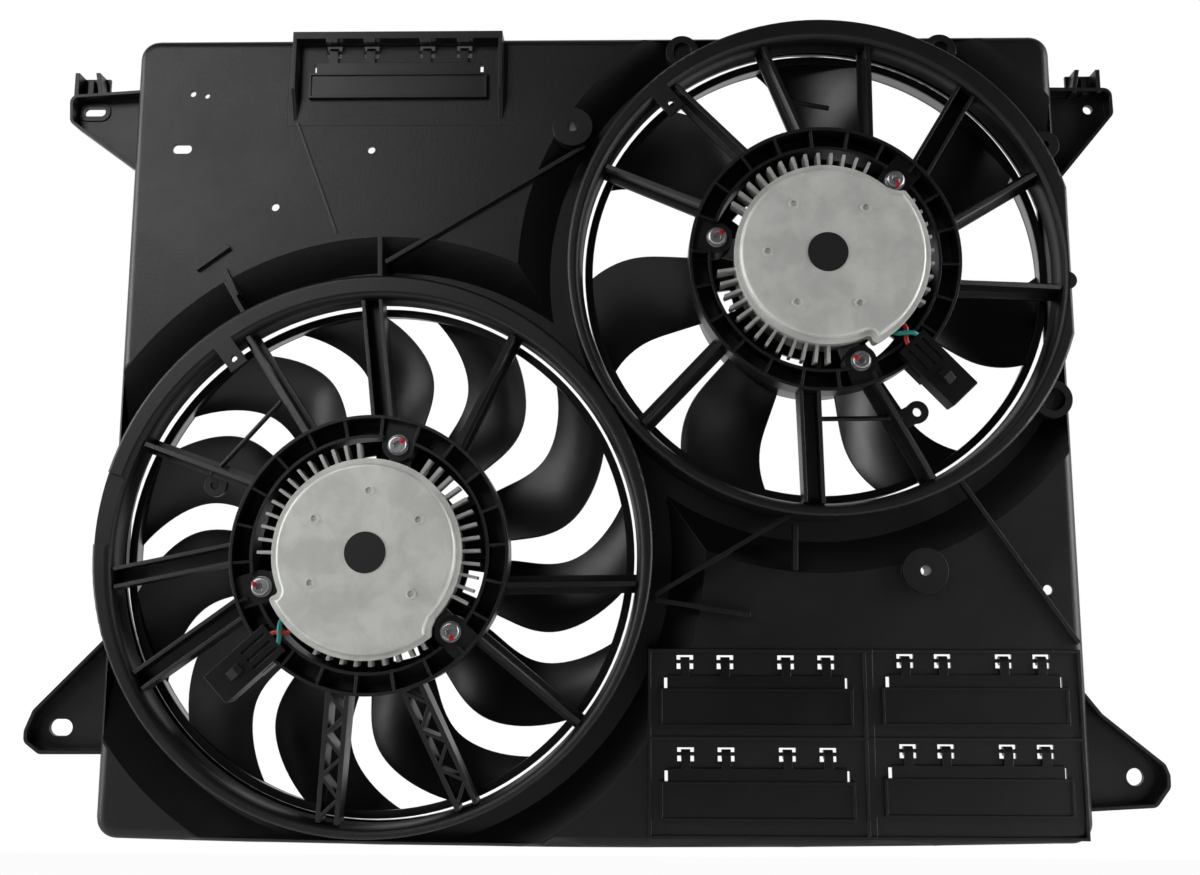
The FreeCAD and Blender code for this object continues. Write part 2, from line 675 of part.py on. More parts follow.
# Motor, built once and turned to suit each fan
def lobed_face(inset):
    disc = pin(COVER_RADIUS, 0, 1)
    wing = revolved([(0, 0), (LOBE_RADIUS, 0), (LOBE_RADIUS, 1), (0, 1)], LOBE_START, LOBE_END - LOBE_START)
    body = disc.fuse(wing).removeSplitter()
    for angle in SCREW_ANGLES:
        body = body.cut(set_out(pin(POCKET_RADIUS + NOTCH_CLEARANCE, -1, 2), SCREW_CIRCLE, angle))
    top = [one for one in body.removeSplitter().Faces if one.BoundBox.YMax < 0.01]
    wire = top[0].OuterWire.makeOffset2D(-COVER_SOFT, 0).makeOffset2D(2 * COVER_SOFT, 0)
    return Part.Face(wire.makeOffset2D(-COVER_SOFT - inset, 0))


def lobed(inset, y0, y1):
    return moved(lobed_face(inset), y=y0).extrude(V(0, y1 - y0, 0))


def motor_cover():
    sheet = COVER_BASE - COVER_SHEET
    raised = softened(lobed(COVER_FLANGE, COVER_FRONT, COVER_BASE), COVER_ROUND)
    outer = fused([raised, lobed(0, sheet, COVER_BASE)])
    inside = lobed(COVER_FLANGE + COVER_SHEET + 0.4, COVER_FRONT + COVER_SHEET, COVER_BASE + 1)
    outer = outer.cut(inside)
    bumps = []
    dents = []
    for angle in STAKE_ANGLES:
        bumps.append(set_out(pin(3.4, COVER_FRONT - 0.5, COVER_FRONT + 1.5), STAKE_CIRCLE, angle))
        dents.append(set_out(pin(2.0, COVER_FRONT - 1, COVER_FRONT + 0.8), STAKE_CIRCLE, angle))
    return fused([outer] + bumps).cut(fused(dents))


def cover_gasket():
    inset = TRAY_INSET + 0.3
    back = COVER_BASE + GASKET
    return lobed(inset, COVER_BASE, back).cut(lobed(inset + GASKET_WIDTH, COVER_BASE - 1, back + 1))


def motor_housing():
    front = COVER_BASE + GASKET
    tray = lobed(TRAY_INSET, front, TRAY_FLOOR_BACK)
    well = lobed(TRAY_INSET + TRAY_WALL, front - 1, TRAY_FLOOR_FRONT)
    tray = tray.cut(well)
    pieces = [tray, ring(CAN_OUTER, CAN_OUTER - CAN_WALL, TRAY_FLOOR_BACK, CAN_BACK)]
    tube = BEARING_RADIUS + TUBE_WALL
    pieces.append(ring(tube, BEARING_RADIUS, TRAY_FLOOR_BACK, TUBE_BACK))
    pieces.append(ring(tube + 2, BEARING_RADIUS, TRAY_FLOOR_BACK, STATOR_FRONT))
    shoulder_front = FRONT_BEARING + BEARING_DEPTH
    pieces.append(ring(BEARING_RADIUS + 1, BEARING_RADIUS - 3, shoulder_front, REAR_BEARING))
    lug_front = RING_BACK
    for angle in SCREW_ANGLES:
        arm = box(CAN_OUTER - 2, SCREW_CIRCLE, lug_front + 2, lug_front + 6, -7, 7)
        lug = pin(LUG_RADIUS, lug_front, lug_front + LUG_DEPTH, SCREW_CIRCLE, 0)
        pieces.append(turned(fused([arm, lug]), angle))
    fins = []
    fin = box(CAN_OUTER - 2, FIN_TIP, TRAY_FLOOR_FRONT - 2, -34, -FIN_THICK / 2, FIN_THICK / 2)
    for start, end, steps in FIN_SECTORS:
        for i in range(steps + 1):
            fins.append(turned(fin, start + i * (end - start) / steps))
    fins = fused(fins).cut(well).cut(pin(CAN_OUTER - 1, -60, -20))
    pieces.append(fins)
    for angle in (20.0, 140.0, 260.0):
        pieces.append(set_out(pin(3.0, TRAY_FLOOR_FRONT - 1.4, TRAY_FLOOR_FRONT), 44.0, angle))
    body = fused(pieces)
    holes = []
    for angle in SCREW_ANGLES:
        holes.append(set_out(pin(SCREW_RADIUS + THREAD_CLEARANCE, -30, -10), SCREW_CIRCLE, angle))
    return body.cut(fused(holes))


def controller_board():
    front = TRAY_FLOOR_FRONT - 3
    board = pin(50.0, front, front + 1.6)
    parts = [board]
    for x, z, w, h, tall in ((-20, 10, 14, 14, 1.8), (18, 22, 10, 8, 2.0), (12, -20, 18, 6, 2.4),
                             (-22, -22, 9, 9, 2.2)):
        parts.append(box(x - w / 2, x + w / 2, front - tall, front, z - h / 2, z + h / 2))
    return fused(parts)


def stator_core():
    back = STATOR_FRONT + STATOR_DEPTH
    pieces = [ring(22.0, BEARING_RADIUS + TUBE_WALL, STATOR_FRONT, back)]
    for i in range(STATOR_TEETH):
        angle = 360.0 * i / STATOR_TEETH
        pieces.append(turned(box(21, 41, STATOR_FRONT, back, -3.5, 3.5), angle))
        tip = [(40, STATOR_FRONT), (STATOR_RADIUS, STATOR_FRONT), (STATOR_RADIUS, back), (40, back)]
        pieces.append(revolved(tip, angle - 12, 24))
    return fused(pieces)


def stator_windings():
    back = STATOR_FRONT + STATOR_DEPTH
    coil = box(24, 39, STATOR_FRONT - 2.5, back + 2.5, -5.8, 5.8)
    coil = coil.cut(box(20, 45, STATOR_FRONT, back, -3.5, 3.5))
    return Part.makeCompound([turned(coil, 360.0 * i / STATOR_TEETH) for i in range(STATOR_TEETH)])


def bearings():
    bore = SHAFT_RADIUS + BEARING_CLEARANCE
    rim = BEARING_RADIUS - 0.02
    out = []
    for front in (FRONT_BEARING, REAR_BEARING):
        body = ring(rim, bore, front, front + BEARING_DEPTH)
        groove = ring(rim - 2, bore + 2, front - 1, front + 0.5)
        out.append(body.cut(groove))
    return Part.makeCompound(out)


def motor_screws():
    head_front = POCKET_SEAT - SCREW_HEAD_HEIGHT
    head = pin(SCREW_HEAD_RADIUS, head_front, POCKET_SEAT)
    flange = pin(SCREW_FLANGE_RADIUS, POCKET_SEAT - SCREW_FLANGE, POCKET_SEAT)
    rim = [e for e in head.Edges if e.BoundBox.YMax < head_front + 0.01]
    head = head.makeFillet(1.5, rim)
    star = []
    for i in range(12):
        p = polar(3.0 if i % 2 else 2.2, 30.0 * i)
        star.append((p.x, p.z))
    head = head.cut(prism(star, head_front - 1, head_front + 2.5))
    shank = pin(SCREW_RADIUS, POCKET_SEAT, RING_BACK + LUG_DEPTH - 1)
    screw = fused([head, flange, shank])
    return Part.makeCompound([set_out(screw, SCREW_CIRCLE, a) for a in SCREW_ANGLES])


def connector():
    half = PLUG_WIDTH / 2
    rest = RING_BACK - RING_FLOOR
    body = fused([box(PLUG_INNER, PLUG_STEP, PLUG_FRONT, rest, -half, half),
                  box(PLUG_STEP, PLUG_OUTER, PLUG_FRONT, PLUG_BACK, -half, half)])
    uprights = [e for e in body.Edges if abs(e.BoundBox.XMin - PLUG_OUTER) < 0.01
                and abs(e.BoundBox.XMax - PLUG_OUTER) < 0.01]
    cuts = [box(PLUG_OUTER - 15, PLUG_OUTER + 1, PLUG_FRONT + 2, PLUG_BACK - 2, -half + 2, half - 2)]
    for z in (-half + 4, -1.0, half - 6):
        cuts.append(box(PLUG_INNER + 3, PLUG_STEP - 3, PLUG_FRONT - 1, PLUG_FRONT + 1.6, z, z + 2))
    for z in (-half - 1, half - 1):
        cuts.append(box(PLUG_INNER + 4, PLUG_STEP - 4, PLUG_FRONT + 5, PLUG_FRONT + 8, z, z + 2))
    body = body.makeFillet(1.0, uprights).cut(fused(cuts))
    latch_start = PLUG_STEP + 2
    latch_end = latch_start + 10
    latch = side_slab([(latch_start, PLUG_FRONT), (latch_end, PLUG_FRONT), (latch_end, PLUG_FRONT - 0.6),
                       (latch_start + 4, PLUG_FRONT - 2.4), (latch_start, PLUG_FRONT - 2.4)], -3, 3)
    return turned(fused([body, latch]), PLUG_ANGLE)


def connector_terminals():
    middle = (PLUG_FRONT + PLUG_BACK) / 2
    start = PLUG_OUTER - 15
    pins = []
    for z in (-6.0, -2.0, 2.0, 6.0):
        pins.append(turned(box(start, start + 12, middle - 0.4, middle + 0.4, z - 0.9, z + 0.9), PLUG_ANGLE))
    return Part.makeCompound(pins)


def bent_path(points):
    spots = [V(*p) for p in points]
    edges = []
    start = spots[0]
    for i in range(1, len(spots) - 1):
        before = spots[i].sub(spots[i - 1])
        after = spots[i + 1].sub(spots[i])
        turn = before.getAngle(after)
        setback = 0.45 * min(before.Length, after.Length)
        radius = setback / math.tan(turn / 2)
        print("lead bend radius", round(radius, 1))
        before.normalize()
        after.normalize()
        first = spots[i] - before * setback
        last = spots[i] + after * setback
        inward = after - before
        inward.normalize()
        crown = spots[i] + inward * (radius / math.cos(turn / 2) - radius)
        edges.append(Part.makeLine(start, first))
        edges.append(Part.Arc(first, crown, last).toShape())
        start = last
    edges.append(Part.makeLine(start, spots[-1]))
    return Part.Wire(edges)


def lead(points):
    along = V(*points[1]).sub(V(*points[0]))
    section = Part.Wire([Part.makeCircle(LEAD_RADIUS, V(*points[0]), along)])
    tube = bent_path(points).makePipeShell([section], True, False)
    keep = box(40, PLUG_INNER, -60, -30, -20, 20).cut(pin(LOBE_RADIUS - TRAY_INSET, -60, -30))
    return turned(tube.common(keep), PLUG_ANGLE)


def lead_red():
    low = COVER_BASE + GASKET + 3.8
    return lead([(64.0, low, 4.0), (70.0, low - 0.4, 4.0), (75.5, low - 0.2, -2.5), (82.0, low + 0.6, -3.5)])


def lead_teal():
    low = COVER_BASE + GASKET + 3.5
    return lead([(64.0, low, -5.0), (68.0, low - 2.0, -4.6), (71.5, low - 5.0, -1.0), (75.5, low - 4.0, 4.0),
                 (82.0, low, 6.0)])


# Fan
def fan_hub():
    inside = HUB_RADIUS - HUB_WALL
    disc_back = BELL_BACK + HUB_DISC
    pieces = [ring(HUB_RADIUS, inside, HUB_FRONT, HUB_BACK), pin(inside + 1, BELL_BACK, disc_back)]
    step = 360.0 / HUB_RIBS
    bell = STATOR_RADIUS + AIR_GAP + MAGNET_THICK + BELL_WALL
    for i in range(HUB_RIBS):
        pieces.append(turned(box(bell + 3, inside + 0.5, -4, BELL_BACK + 1, -1, 1), step * i))
    body = fused(pieces)
    cuts = []
    span = 360.0 / HUB_WINDOWS
    reach = inside - 11.5
    window = [(bell + 6, 2), (reach, 2), (reach, 22), (bell + 6, 22)]
    for i in range(HUB_WINDOWS):
        middle = HUB_WINDOW_START + span * i
        cuts.append(revolved(window, middle - HUB_WINDOW_SPAN / 2, HUB_WINDOW_SPAN))
    for i in range(3):
        cuts.append(set_out(pin(FAN_SCREW_RADIUS + 0.3, 0, 20), FAN_SCREW_CIRCLE, 120 * i + 30))
    return body.cut(fused(cuts))


def blade(fan):
    band_inner = fan["bore"] - RUNNING_GAP - BAND_FLANGE
    root = HUB_RADIUS
    span = band_inner - root
    wires = []
    stations = [root - 5] + [root + span * part for part in (0.12, 0.3, 0.5, 0.7, 0.9)] + [band_inner + 8]
    for radius in stations:
        share = (radius - root) / span
        half = fan["root_half"] + (fan["tip_half"] - fan["root_half"]) * share
        lag = max(0.0, (share - 0.33) / 0.67)
        middle = math.radians(fan["first"] + fan["sweep"] * lag ** fan["power"])
        reach = radius * math.tan(math.radians(half))
        front = HUB_FRONT + 3 + 6.5 * share
        rear = HUB_BACK - 4 - 4 * share
        chord = math.hypot(2 * reach, rear - front)
        nt = -(rear - front) / chord
        ny = 2 * reach / chord

        def spot(t, y, lift):
            tt = t + nt * lift
            return V(radius * math.cos(middle) - tt * math.sin(middle), y + ny * lift,
                     radius * math.sin(middle) + tt * math.cos(middle))

        bow = chord * BLADE_CAMBER
        mid_y = (front + rear) / 2
        e = BLADE_EDGE / 2
        m = BLADE_THICK / 2
        near = Part.Arc(spot(-reach, front, -e), spot(0, mid_y, bow - m), spot(reach, rear, -e)).toShape()
        far = Part.Arc(spot(reach, rear, e), spot(0, mid_y, bow + m), spot(-reach, front, e)).toShape()
        lead_edge = Part.makeLine(spot(reach, rear, -e), spot(reach, rear, e))
        trail_edge = Part.makeLine(spot(-reach, front, e), spot(-reach, front, -e))
        wires.append(Part.Wire([near, lead_edge, far, trail_edge]))
    solid = Part.makeLoft(wires, True, False)
    return solid.common(ring(fan["bore"], root, -30, 40)).common(band_inside(fan))


def band_inside(fan):
    tip = fan["bore"] - RUNNING_GAP
    narrow = tip - BAND_FLANGE
    wide = tip - BAND_WALL
    return revolved([(0, HUB_FRONT - 9), (narrow, HUB_FRONT - 9), (narrow, BAND_FRONT + 1.5), (wide, BAND_BACK - 2),
                     (wide, HUB_BACK + 9), (0, HUB_BACK + 9)])


def fan_blades(fan):
    one = blade(fan)
    pitch = 360.0 / fan["blades"]
    return Part.makeCompound([turned(one, pitch * i) for i in range(fan["blades"])])


def fan_band(fan):
    outer = fan["bore"] - RUNNING_GAP
    neck = outer - BAND_FLANGE + BAND_WALL + 0.4
    shell = revolved([(0, BAND_FRONT), (outer, BAND_FRONT), (outer, BAND_FRONT + 1.8), (neck, BAND_FRONT + 2.6),
                      (outer, BAND_BACK - 2), (outer, BAND_BACK), (0, BAND_BACK)])
    return shell.cut(band_inside(fan))


def rotor_bell():
    outer = STATOR_RADIUS + AIR_GAP + MAGNET_THICK + BELL_WALL
    floor = BELL_BACK - 3
    body = revolved([(0, floor), (outer - BELL_WALL, floor), (outer - BELL_WALL, BELL_FRONT),
                     (outer, BELL_FRONT), (outer, BELL_BACK - 2), (outer - 2, BELL_BACK), (0, BELL_BACK)])
    bosses = [set_out(pin(6.0, floor - 4, floor), FAN_SCREW_CIRCLE, 120 * i + 30) for i in range(3)]
    holes = []
    for i in range(3):
        hole = pin(FAN_SCREW_RADIUS + THREAD_CLEARANCE, floor - 5, BELL_BACK + 1)
        holes.append(set_out(hole, FAN_SCREW_CIRCLE, 120 * i + 30))
    return fused([body] + bosses).cut(fused(holes))


def rotor_magnets():
    inner = STATOR_RADIUS + AIR_GAP
    outer = inner + MAGNET_THICK
    back = STATOR_FRONT + STATOR_DEPTH + 2
    section = [(inner, STATOR_FRONT), (outer, STATOR_FRONT), (outer, back), (inner, back)]
    return Part.makeCompound([revolved(section, 60 * i + 2, 56) for i in range(6)])


def rotor_shaft():
    floor = BELL_BACK - 3
    return revolved([(0, TRAY_FLOOR_BACK + 0.6), (SHAFT_RADIUS - 0.6, TRAY_FLOOR_BACK + 0.6),
                     (SHAFT_RADIUS, TRAY_FLOOR_BACK + 1.2), (SHAFT_RADIUS, floor - 2),
                     (SHAFT_RADIUS + 5, floor - 2), (SHAFT_RADIUS + 5, floor), (0, floor)])


def fan_screws():
    seat = BELL_BACK + HUB_DISC
    floor = BELL_BACK - 3
    out = []
    for i in range(3):
        head = pin(5.0, seat, seat + 3.2).cut(pin(2.0, seat + 1.2, seat + 4))
        shank = pin(FAN_SCREW_RADIUS, floor - 3, seat)
        out.append(set_out(fused([head, shank]), FAN_SCREW_CIRCLE, 120 * i + 30))
    return Part.makeCompound(out)


# Ears, built on the right hand side and mirrored where they sit on the left
def clip_holder(near, far, top):
    back = EAR_PLATE_FRONT + EAR_PLATE
    z0 = top - 4
    z1 = top + CLIP_HEIGHT
    wall = 3.0
    plate = box(near, far, back - 2.5, back, z0, z1)
    post = box(far - wall, far, EAR_FLANGE_FRONT, back, z0, z1)
    cheek = [(near, z0), (near + wall, z0), (near + 2 * wall, z1), (near + wall, z1)]
    middle = (near + far) / 2
    peg = box(middle - 2, middle + 2, EAR_FLANGE_FRONT + 3, back, z0, z1 - 4)
    return [plate, post, prism(cheek, EAR_FLANGE_FRONT, back), peg]


def ear(spec):
    edge = SHROUD_WIDTH / 2
    corners = [V(edge + out, 0, up(z)) for z, out in spec["outline"]]
    start = V(edge - 14, 0, corners[0].z)
    end = V(edge - 14, 0, corners[-1].z)
    wire = Part.makePolygon([start] + corners + [end, start])
    outline = wire.makeOffset2D(-EAR_CORNER, 2).makeOffset2D(EAR_CORNER, 0)
    inner = outline.makeOffset2D(-EAR_FLANGE, 0)
    back = EAR_PLATE_FRONT + EAR_PLATE
    tray = moved(Part.Face(outline), y=EAR_FLANGE_FRONT).extrude(V(0, back - EAR_FLANGE_FRONT, 0))
    well = moved(Part.Face(inner), y=EAR_FLANGE_FRONT - 1)
    well = well.extrude(V(0, EAR_PLATE_FRONT - EAR_FLANGE_FRONT + 1, 0))
    pieces = [tray.cut(well)]
    if spec["clip"]:
        near, far = spec["clip"]
        pieces.extend(clip_holder(edge + near, edge + far, corners[0].z))
    x = abs(ear_hole(spec).x)
    z = ear_hole(spec).z
    slotted = spec["slot"] > spec["bore"]
    if slotted and spec["clip"]:
        pad = slot_cut(x, z, spec["slot"] + 7, spec["bore"] + 7, EAR_PLATE_FRONT - 1, back)
        pieces.append(pad.common(tray))
    body = fused(pieces).cut(slot_cut(x, z, spec["slot"], spec["bore"], 0, 40))
    if spec["side"] < 0:
        body = body.mirror(V(0, 0, 0), V(1, 0, 0))
    return body.cut(outline_block(0, 0, 2 * RIM_REAR))


def save(name, shape):
    out = shape.copy()
    out.translate(V(-DATUM.x, -DATUM.y, -DATUM.z))
    out.exportStep("parts/" + name + ".step")


os.makedirs("parts", exist_ok=True)
PANEL = whole_panel()
x0, x1, z0, z1 = FLAP_BLOCK
COLUMNS = [box(x0, across(GRID_SPLIT), -10, RIM_REAR, z0, z1), box(across(GRID_SPLIT), x1, -10, RIM_REAR, z0, z1)]
FRAME_REGION = top_frame_region(-20, RIM_REAR)
save("flap_grid", Part.makeCompound([PANEL.common(column).Solids[0] for column in COLUMNS]))
save("top_flap_frame", PANEL.common(FRAME_REGION))
save("shroud_panel", PANEL.cut(COLUMNS[0]).cut(COLUMNS[1]).cut(FRAME_REGION))
RIM = shroud_rim()
save("shroud_rim", RIM)
for part in EARS:
    save(part["name"], ear(part))
for part in FLAPS:
    save(part["name"], flap_shape(part))
UNIT = {
    "carrier_ring": carrier_ring(),
    "motor_housing": motor_housing(),
    "motor_cover": motor_cover(),
    "cover_gasket": cover_gasket(),
    "vent_patch": pin(PATCH_RADIUS, COVER_FRONT - PATCH_THICK, COVER_FRONT),
    "controller_board": controller_board(),
    "stator_core": stator_core(),
    "stator_windings": stator_windings(),
    "bearings": bearings(),
    "connector": connector(),
    "connector_terminals": connector_terminals(),
    "lead_red": lead_red(),
    "lead_teal": lead_teal(),
    "fan_hub": fan_hub(),
    "rotor_bell": rotor_bell(),
    "rotor_magnets": rotor_magnets(),
    "rotor_shaft": rotor_shaft(),
    "fan_screws": fan_screws(),
}
SCREWS = [at_fan(fan, turned(motor_screws(), fan["turn"])) for fan in FANS]
save("motor_screws", Part.makeCompound([screw for group in SCREWS for screw in group.Solids]))
for fan in FANS:
    save(fan["name"] + "_barrel", barrel(fan))
    save(fan["name"] + "_barrel_skirt", barrel_skirt(fan, [PANEL, RIM]))
    save(fan["name"] + "_spokes", spoke_set(fan))
    save(fan["name"] + "_fan_blades", at_fan(fan, fan_blades(fan)))
    save(fan["name"] + "_fan_band", at_fan(fan, fan_band(fan)))
    for name, shape in UNIT.items():
        save(fan["name"] + "_" + name, at_fan(fan, turned(shape, fan["turn"])))
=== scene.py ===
import json
import math

import bpy
from bpy.props import FloatProperty, FloatVectorProperty, PointerProperty
from mathutils import Matrix, Vector


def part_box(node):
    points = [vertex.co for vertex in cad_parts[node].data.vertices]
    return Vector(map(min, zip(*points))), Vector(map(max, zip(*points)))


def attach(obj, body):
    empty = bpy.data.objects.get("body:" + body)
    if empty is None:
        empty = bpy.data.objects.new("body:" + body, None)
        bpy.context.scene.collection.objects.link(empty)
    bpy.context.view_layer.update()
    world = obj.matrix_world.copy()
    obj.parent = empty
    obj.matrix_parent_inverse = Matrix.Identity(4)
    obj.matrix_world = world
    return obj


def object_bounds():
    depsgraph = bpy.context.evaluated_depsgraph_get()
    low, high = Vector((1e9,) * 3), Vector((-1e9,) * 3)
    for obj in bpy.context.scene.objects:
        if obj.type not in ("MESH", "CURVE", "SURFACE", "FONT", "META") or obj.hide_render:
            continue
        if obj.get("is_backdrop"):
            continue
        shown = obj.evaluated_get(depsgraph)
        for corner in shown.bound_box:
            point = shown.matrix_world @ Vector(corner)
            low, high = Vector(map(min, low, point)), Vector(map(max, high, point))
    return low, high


bl_info = {
    "name": "Twin radiator fan dressing",
    "version": (1, 0, 0),
    "blender": (4, 5, 0),
    "location": "3D View > Sidebar > Twin Fan",
    "description": "Finishes and small pieces for a twin radiator fan, with its camera, floor and lamps",
    "category": "Object",
}

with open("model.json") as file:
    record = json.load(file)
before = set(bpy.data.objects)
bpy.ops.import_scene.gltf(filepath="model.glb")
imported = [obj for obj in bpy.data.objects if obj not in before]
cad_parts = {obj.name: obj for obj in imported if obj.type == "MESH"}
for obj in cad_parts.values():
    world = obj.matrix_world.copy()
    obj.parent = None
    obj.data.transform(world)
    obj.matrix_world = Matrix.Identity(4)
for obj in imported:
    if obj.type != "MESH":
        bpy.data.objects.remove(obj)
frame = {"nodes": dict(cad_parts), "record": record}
NODES = frame["nodes"]
SIDES = ("main", "second")
MM = 0.001
WHITE = (1.0, 1.0, 1.0, 1.0)

# The motor screws, in millimetres and degrees. The second motor is turned as a whole.
TURN = {"main": 0.0, "second": 91.0}
SCREW_ANGLES = (77.0, 197.0, 317.0)
SCREW_CIRCLE = 72.0

# Paint dabs: distance from the screw's axis, height of the middle above its head, squash and swell of a ball
DAB_OFFSET = 0.0038
DAB_LIFT = 0.0002
DAB_SQUASH = (1.0, 0.28, 0.75)
DAB_SWELL = 0.18

# Sizes of the cloudy changes of gloss on moulded plastic and on metal
CLOUD_SIZE = 0.06
HAZE_SIZE = 0.012
METAL_CLOUD_SIZE = 0.02

# Small soft pieces: colour, roughness, size of grain and depth of grain
SOFT_FINISHES = {
    "gasket_rubber": ((0.02, 0.02, 0.02), 0.7, 0.001, 0.00005),
    "vent_membrane": ((0.012, 0.012, 0.013), 0.42, 0.0006, 0.00008),
    "lead_red": ((0.42, 0.02, 0.015), 0.38, 0.001, 0.00005),
    "lead_teal": ((0.01, 0.22, 0.2), 0.38, 0.001, 0.00005),
    "circuit_board": ((0.02, 0.12, 0.04), 0.35, 0.001, 0.00005),
}

# Inner metals: colour, size of grain, depth of grain, roughness, metallic share and stretch of the grain
METAL_FINISHES = {
    "bearing_steel": ((0.5, 0.51, 0.53), 0.0006, 0.00001, 0.25, 1.0, (1, 12, 1)),
    "lamination_steel": ((0.25, 0.25, 0.27), 0.0005, 0.00005, 0.5, 0.9, (1, 20, 1)),
    "bell_steel": ((0.03, 0.03, 0.032), 0.0012, 0.00004, 0.42, 0.3),
    "magnet_ferrite": ((0.06, 0.06, 0.062), 0.001, 0.00006, 0.6, 0.2),
    "winding_copper": ((0.5, 0.19, 0.07), 0.0006, 0.0001, 0.32, 0.9, (1, 8, 1)),
    "terminal_metal": ((0.7, 0.6, 0.35), 0.0006, 0.00001, 0.25, 1.0),
}

# Floor, lamps (place from the middle of the part, width and height) and the room's white behind the part
FLOOR_SIZE = 2.6
FLOOR_PAINT = (0.92, 0.92, 0.92, 1.0)
FLOOR_GLOW = 0.96
LAMPS = {
    "key_lamp": ((-0.95, -1.4, 0.82), 0.8, 0.8),
    "left_lamp": ((-1.5, -0.32, 0.2), 0.6, 1.3),
    "right_lamp": ((1.5, -0.32, 0.2), 0.6, 1.3),
    "fill_lamp": ((1.2, -1.3, -0.7), 0.9, 0.9),
}
RIGHT_SHARE = 1.1
BACKDROP_STARTS = 0.05
BACKDROP_FULL = 0.5


def axis_of(side):
    low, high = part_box(side + "_fan_band")
    return Vector(((low.x + high.x) / 2, 0.0, (low.z + high.z) / 2))


def polar(side, radius, angle, y):
    """A point given by its radius and angle round a fan's axis, in millimetres and degrees."""
    a = math.radians(angle)
    out = axis_of(side)
    return Vector((out.x + radius * MM * math.cos(a), y, out.z + radius * MM * math.sin(a)))


# Shader maths
class Value:
    """A shader socket that Python's own operators can work on."""

    def __init__(self, graph, socket):
        self.graph = graph
        self.socket = socket

    def join(self, operation, first, second):
        return self.graph.node("ShaderNodeMath", {"operation": operation}, {0: first, 1: second})

    def __add__(self, other):
        return self.join("ADD", self, other)

    def __radd__(self, other):
        return self.join("ADD", other, self)

    def __sub__(self, other):
        return self.join("SUBTRACT", self, other)

    def __rsub__(self, other):
        return self.join("SUBTRACT", other, self)

    def __mul__(self, other):
        return self.join("MULTIPLY", self, other)

    def __rmul__(self, other):
        return self.join("MULTIPLY", other, self)

    def at_least(self, level):
        return self.join("MAXIMUM", self, level)

    def spread(self, low, high, new_low=0.0, new_high=1.0):
        settings = {"interpolation_type": "SMOOTHSTEP"}
        sockets = {"Value": self, "From Min": low, "From Max": high, "To Min": new_low, "To Max": new_high}
        return self.graph.node("ShaderNodeMapRange", settings, sockets)


class Graph:
    """The shader nodes of a material or a world, written as expressions."""

    def __init__(self, owner):
        owner.use_nodes = True
        self.tree = owner.node_tree
        self.tree.nodes.clear()

    def node(self, kind, settings, sockets, output=0):
        made = self.tree.nodes.new(kind)
        for key, value in settings.items():
            setattr(made, key, value)
        for key, value in sockets.items():
            if isinstance(value, Value):
                self.tree.links.new(value.socket, made.inputs[key])
            else:
                made.inputs[key].default_value = value
        return Value(self, made.outputs[output])

    def close(self, kind, shader):
        out = self.tree.nodes.new(kind)
        self.tree.links.new(shader.socket, out.inputs["Surface"])


class Shade(Graph):
    """One material."""

    def __init__(self, name):
        self.material = bpy.data.materials.new(name)
        super().__init__(self.material)
        self.coordinates = None

    def place(self):
        if self.coordinates is None:
            self.coordinates = self.node("ShaderNodeTexCoord", {}, {}, "Object")
        return self.coordinates

    def noise(self, size, detail=3.0, rough=0.5, warp=0.0, stretch=(1, 1, 1)):
        spot = self.place()
        if stretch != (1, 1, 1):
            spot = self.node("ShaderNodeMapping", {}, {"Vector": spot, "Scale": stretch})
        sockets = {"Vector": spot, "Scale": 1.0 / size, "Detail": detail}
        sockets.update({"Roughness": rough, "Distortion": warp})
        return self.node("ShaderNodeTexNoise", {}, sockets, "Fac")

    def blend(self, factor, first, second):
        return self.node("ShaderNodeMix", {"data_type": "RGBA"}, {0: factor, 6: first, 7: second}, 2)

    def edge(self, radius):
        return self.node("ShaderNodeBevel", {"samples": 4}, {"Radius": radius})

    def bump(self, height, depth, under=None):
        sockets = {"Height": height, "Distance": depth, "Strength": 1.0}
        if under is not None:
            sockets["Normal"] = under
        return self.node("ShaderNodeBump", {}, sockets)

    def finish(self, sockets):
        self.close("ShaderNodeOutputMaterial", self.node("ShaderNodeBsdfPrincipled", {}, sockets))
        return self.material


def rgb(values):
    return (values[0], values[1], values[2], 1.0)


def moulded_black(name, look, grain_size, grain_depth, rough, edge):
    """Black moulded plastic: fine grain, faint cloudy change of gloss, rounded edges."""
    s = Shade(name)
    grain = s.noise(grain_size, 4.0, 0.6)
    cloud = s.noise(CLOUD_SIZE, 3.0, 0.55, 0.4)
    haze = s.noise(HAZE_SIZE, 3.0, 0.6)
    light = tuple(v * 1.7 for v in look) + (1.0,)
    colour = s.blend(cloud.spread(0.35, 0.7, 0.0, 0.6), rgb(look), light)
    gloss = rough + (cloud - 0.5) * 0.12 + (haze - 0.5) * 0.08
    normal = s.bump(grain, grain_depth, s.edge(edge))
    return s.finish({"Base Color": colour, "Roughness": gloss, "Normal": normal, "IOR": 1.5})


def satin_metal(name, look, grain_size, grain_depth, rough, metallic, stretch=(1, 1, 1)):
    """Dull or brushed metal, with grain and cloudy changes of tone and gloss."""
    s = Shade(name)
    grain = s.noise(grain_size, 4.0, 0.6, 0.0, stretch)
    cloud = s.noise(METAL_CLOUD_SIZE, 3.0, 0.6, 0.3)
    dark = tuple(v * 0.82 for v in look) + (1.0,)
    colour = s.blend(cloud.spread(0.3, 0.7), dark, rgb(look))
    gloss = rough + (cloud - 0.5) * 0.15 + (grain - 0.5) * 0.1
    normal = s.bump(grain, grain_depth, s.edge(0.0004))
    return s.finish({"Base Color": colour, "Roughness": gloss, "Metallic": metallic, "Normal": normal})


